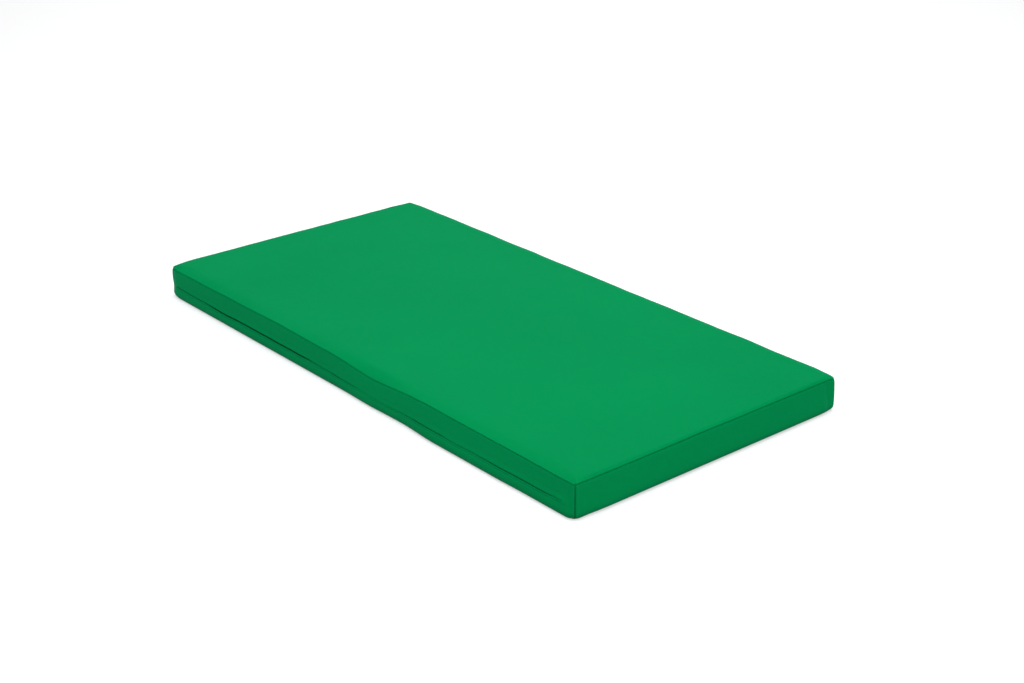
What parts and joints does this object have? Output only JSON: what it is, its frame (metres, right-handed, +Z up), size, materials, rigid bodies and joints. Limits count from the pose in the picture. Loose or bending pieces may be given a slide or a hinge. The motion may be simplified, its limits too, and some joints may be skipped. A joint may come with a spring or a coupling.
{
  "type": "crash landing mat",
  "caption": "Rectangular landing mat: foam core in a sewn cover of coated cloth, with a zip along one long side hidden under a hanging flap.",
  "frame": {"origin": "middle of the underside, on the floor", "axes": "+X along the mat's length towards the closed end of the zip, +Y across the mat away from the zip side, +Z up from the floor to the landing face"},
  "size_m": [2, 1, 0.1],
  "materials": {
    "cover_cloth": "satin",
    "soft_foam": "matte",
    "firm_foam": "matte",
    "zip_tape": "matte",
    "zip_coil": "satin",
    "zip_metal": "satin",
    "thread": "satin"
  },
  "bodies": {
    "core_and_cover": {"cover_top_panel": "cover_cloth", "cover_bottom_panel": "cover_cloth", "cover_wrap_boxing": "cover_cloth", "zip_side_upper_strip": "cover_cloth", "zip_side_lower_strip": "cover_cloth", "zip_end_tab_right": "cover_cloth", "zip_end_tab_left": "cover_cloth", "foam_base_block": "soft_foam", "foam_top_sheet": "firm_foam", "zip_tape_upper": "zip_tape", "zip_tape_lower": "zip_tape", "zip_coil_upper": "zip_coil", "zip_coil_lower": "zip_coil", "zip_top_stops": "zip_metal", "zip_bottom_stop": "zip_metal", "seam_thread_top": "thread", "seam_thread_bottom": "thread", "seam_thread_corner_right": "thread", "seam_thread_corner_left": "thread", "zip_stitch_upper_row": "thread", "zip_stitch_lower_row": "thread"},
    "flap": {"zip_flap": "cover_cloth", "flap_hem_stitch": "thread"},
    "slider": {"zip_slider_body": "zip_metal"},
    "puller": {"zip_puller": "zip_metal"}
  },
  "joints": [
    {"name": "flap_lift", "type": "hinge", "parent": "core_and_cover", "child": "flap", "pos_m": [0, -0.4992, 0.071], "axis": [-1, 0, 0], "range_deg": [0, 120]},
    {"name": "slider_slide", "type": "slide", "parent": "core_and_cover", "child": "slider", "axis": [-1, 0, 0], "range_m": [0, 1.834]},
    {"name": "puller_swing", "type": "hinge", "parent": "slider", "child": "puller", "pos_m": [0.917, -0.4963, 0.05], "axis": [0, 0, 1], "range_deg": [0, 90]}
  ],
  "couplings": [
    {"joint": "puller_swing", "follows": "flap_lift", "ratio": 0.75}
  ]
}
